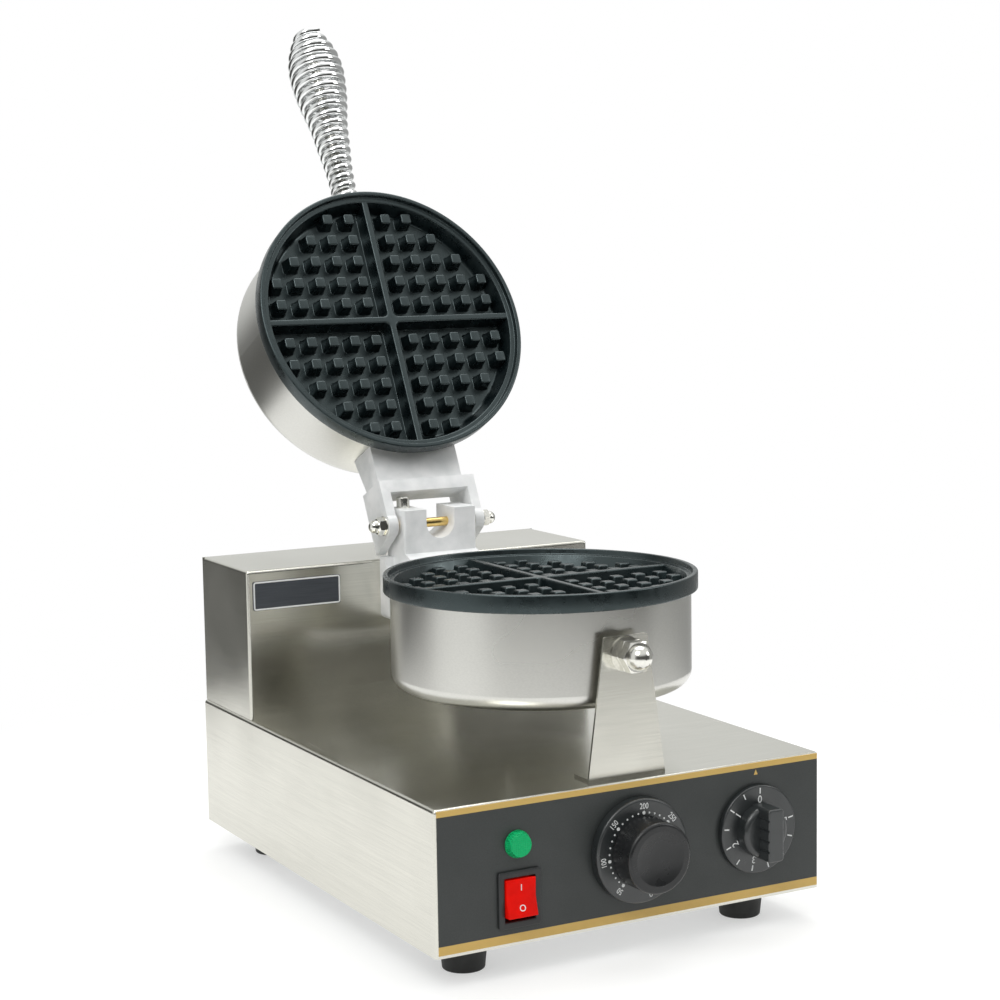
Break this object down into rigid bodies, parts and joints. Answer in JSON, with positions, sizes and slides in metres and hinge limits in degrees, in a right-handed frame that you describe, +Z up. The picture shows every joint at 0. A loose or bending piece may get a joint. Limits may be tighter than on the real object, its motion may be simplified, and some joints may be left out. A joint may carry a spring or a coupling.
{
  "type": "commercial waffle maker",
  "caption": "Single round waffle iron on a steel base with a rear tower, hinged lid with coil handle, thermostat dial, timer and rocker switch.",
  "frame": {"origin": "middle of the object's footprint box, on the surface that the feet stand on", "axes": "+Z up, +Y to the back, +X to the right seen from the controls"},
  "size_m": [0.25, 0.4556, 0.547],
  "materials": {
    "sheet_steel": "brushed, grain along the length",
    "plated_steel": "plain zinc plated",
    "can_steel": "brushed round the can",
    "fastener_steel": "bright nickel plate",
    "coil_chrome": "bright chrome",
    "handle_nut_brass": "yellow passivated",
    "cast_alloy": "as cast and tumbled",
    "iron_coating": "black non-stick, satin",
    "axle_brass": "yellow passivated",
    "foot_rubber": "matt",
    "fascia_black": "black film with gold lines",
    "nameplate_grey": "dark grey with a pale border",
    "dial_plastic": "black with pale marks",
    "cap_plastic": "black, satin",
    "switch_plastic": "black",
    "rocker_red": "red, translucent look",
    "lamp_green": "green lens",
    "body_plastic": "phenolic",
    "heater_sheath": "heat darkened",
    "mineral_wool": "pressed wool"
  },
  "bodies": {
    "base": {"base_casing": "sheet_steel", "base_plate": "plated_steel", "control_fascia": "fascia_black", "rubber_feet": "foot_rubber", "foot_screws": "fastener_steel", "foot_nuts": "fastener_steel", "base_plate_screws": "fastener_steel", "tower_casing": "sheet_steel", "tower_back_cover": "sheet_steel", "back_cover_screws": "fastener_steel", "tower_screws": "fastener_steel", "nameplate": "nameplate_grey", "front_bracket": "sheet_steel", "bracket_screws": "fastener_steel", "support_bolt": "fastener_steel", "support_spacer": "fastener_steel", "support_washer": "fastener_steel", "support_nut": "fastener_steel", "support_cap_nut": "fastener_steel", "lower_hinge_casting": "cast_alloy", "hinge_bolts": "fastener_steel", "lead_ferrule": "fastener_steel", "terminal_block": "body_plastic", "terminal_bracket": "plated_steel", "earth_stud": "fastener_steel", "cable_gland": "switch_plastic", "thermostat_body": "body_plastic", "thermostat_bulb": "heater_sheath", "timer_body": "body_plastic", "timer_bell": "plated_steel", "switch_frame": "switch_plastic", "pilot_lens": "lamp_green", "pilot_lamp_body": "body_plastic", "lower_iron": "iron_coating", "lower_can": "can_steel", "lower_heater": "heater_sheath", "lower_heater_clamp": "plated_steel", "lower_insulation": "mineral_wool", "lower_tie_bolts": "fastener_steel", "lower_can_screws": "fastener_steel"},
    "lid": {"upper_iron": "iron_coating", "upper_can": "can_steel", "upper_heater": "heater_sheath", "upper_heater_clamp": "plated_steel", "upper_insulation": "mineral_wool", "upper_tie_bolts": "fastener_steel", "upper_can_screws": "fastener_steel", "hinge_yoke": "cast_alloy", "hinge_axle": "axle_brass", "axle_washers": "fastener_steel", "axle_cap_nuts": "fastener_steel", "handle_coil": "coil_chrome", "handle_rod": "fastener_steel", "handle_nuts": "handle_nut_brass"},
    "thermostat_knob": {"thermostat_dial": "dial_plastic", "thermostat_cap": "cap_plastic", "thermostat_shaft": "fastener_steel"},
    "timer_dial": {"timer_knob": "dial_plastic", "timer_shaft": "fastener_steel"},
    "rocker": {"power_rocker": "rocker_red"}
  },
  "joints": [
    {"name": "lid_hinge", "type": "hinge", "parent": "base", "child": "lid", "pos_m": [0, 0.03985, 0.2176], "axis": [1, 0, 0], "range_deg": [0, 116.4]},
    {"name": "thermostat_turn", "type": "hinge", "parent": "base", "child": "thermostat_knob", "pos_m": [0, -0.20765, 0.061], "axis": [0, 1, 0], "range_deg": [-95, 170]},
    {"name": "timer_turn", "type": "hinge", "parent": "base", "child": "timer_dial", "pos_m": [0.08, -0.20765, 0.061], "axis": [0, 1, 0], "range_deg": [0, 283]},
    {"name": "power_rock", "type": "hinge", "parent": "base", "child": "rocker", "pos_m": [-0.075, -0.19925, 0.045], "axis": [1, 0, 0], "range_deg": [0, 14]}
  ]
}
